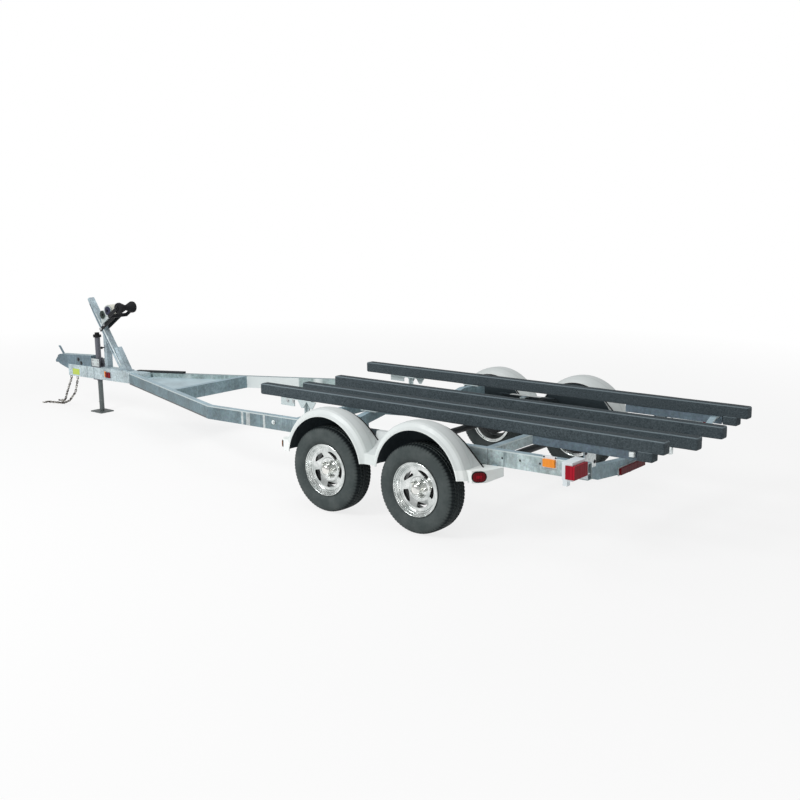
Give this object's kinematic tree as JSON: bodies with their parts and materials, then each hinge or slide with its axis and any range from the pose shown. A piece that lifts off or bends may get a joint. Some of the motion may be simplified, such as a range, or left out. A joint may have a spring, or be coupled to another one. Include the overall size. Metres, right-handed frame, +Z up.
{
  "type": "boat trailer",
  "caption": "Tandem-axle bunk trailer for a boat: bent box-tube frame, V tongue, carpeted bunks, chrome wheels, fenders, jack, winch stand and coupler.",
  "frame": {"origin": "on the ground, under the middle of the trailer's length and width", "axes": "+X to the rear, +Y to the trailer's right side, +Z up"},
  "size_m": [8.1144, 2.548, 1.2751],
  "materials": {
    "galvanised": "dull hot-dip galvanised steel",
    "dark_steel": "black paint, worn",
    "jack_zinc": "dull grey",
    "black_plastic": "matt",
    "black_rubber": "matt",
    "strap_webbing": "woven webbing",
    "fender_metal": "pale silver",
    "bunk_carpet": "carpet over timber",
    "lamp_housing": "matt",
    "red_lens": "gloss",
    "amber_lens": "gloss",
    "chain_steel": "dull zinc",
    "tyre_rubber": "matt",
    "rim_chrome": "polished",
    "hub_steel": "bare steel"
  },
  "bodies": {
    "frame": {"tongue": "galvanised", "rail_left": "galvanised", "rail_right": "galvanised", "gusset_plate": "galvanised", "crossmember_front": "galvanised", "crossmember_mid": "galvanised", "crossmember_aft": "galvanised", "crossmember_raised": "galvanised", "crossmember_rear": "galvanised", "axle_rear": "dark_steel", "axle_front": "dark_steel", "leaf_springs": "dark_steel", "spring_hangers": "dark_steel", "fender_left": "fender_metal", "bunk_outer_left": "bunk_carpet", "bunk_inner_left": "bunk_carpet", "fender_right": "fender_metal", "bunk_outer_right": "bunk_carpet", "bunk_inner_right": "bunk_carpet", "fender_brackets": "galvanised", "bunk_posts": "galvanised", "bunk_channels": "galvanised", "bunk_tie": "galvanised", "tail_housings": "lamp_housing", "tail_lenses": "red_lens", "amber_markers": "amber_lens", "red_markers": "red_lens", "light_bar": "galvanised", "bar_lamps": "red_lens", "coupler": "galvanised", "coupler_latch": "dark_steel", "jack_tube": "jack_zinc", "jack_cap": "black_plastic", "winch_stand": "galvanised", "bow_arms": "dark_steel", "winch": "galvanised", "winch_strap": "strap_webbing", "chain_left": "chain_steel", "chain_right": "chain_steel"},
    "wheel_rear_left": {"tyre_rear_left": "tyre_rubber", "rim_rear_left": "rim_chrome", "hub_rear_left": "hub_steel"},
    "wheel_rear_right": {"tyre_rear_right": "tyre_rubber", "rim_rear_right": "rim_chrome", "hub_rear_right": "hub_steel"},
    "wheel_front_left": {"tyre_front_left": "tyre_rubber", "rim_front_left": "rim_chrome", "hub_front_left": "hub_steel"},
    "wheel_front_right": {"tyre_front_right": "tyre_rubber", "rim_front_right": "rim_chrome", "hub_front_right": "hub_steel"},
    "jack_leg": {"jack_leg": "dark_steel"},
    "bow_roller": {"bow_roller": "black_rubber"}
  },
  "joints": [
    {"name": "wheel_rear_left_spin", "type": "hinge", "parent": "frame", "child": "wheel_rear_left", "pos_m": [2.31958, -1.151, 0.34], "axis": [0, 1, 0], "continuous": true},
    {"name": "wheel_rear_right_spin", "type": "hinge", "parent": "frame", "child": "wheel_rear_right", "pos_m": [2.31958, 1.151, 0.34], "axis": [0, 1, 0], "continuous": true},
    {"name": "wheel_front_left_spin", "type": "hinge", "parent": "frame", "child": "wheel_front_left", "pos_m": [1.42358, -1.151, 0.34], "axis": [0, 1, 0], "continuous": true},
    {"name": "wheel_front_right_spin", "type": "hinge", "parent": "frame", "child": "wheel_front_right", "pos_m": [1.42358, 1.151, 0.34], "axis": [0, 1, 0], "continuous": true},
    {"name": "jack_slide", "type": "slide", "parent": "frame", "child": "jack_leg", "axis": [-0.025, 0, 0.9997], "range_m": [0, 0.2]},
    {"name": "bow_roller_spin", "type": "hinge", "parent": "frame", "child": "bow_roller", "pos_m": [-2.60002, 0, 1.2046], "axis": [0, 1, 0], "continuous": true}
  ]
}
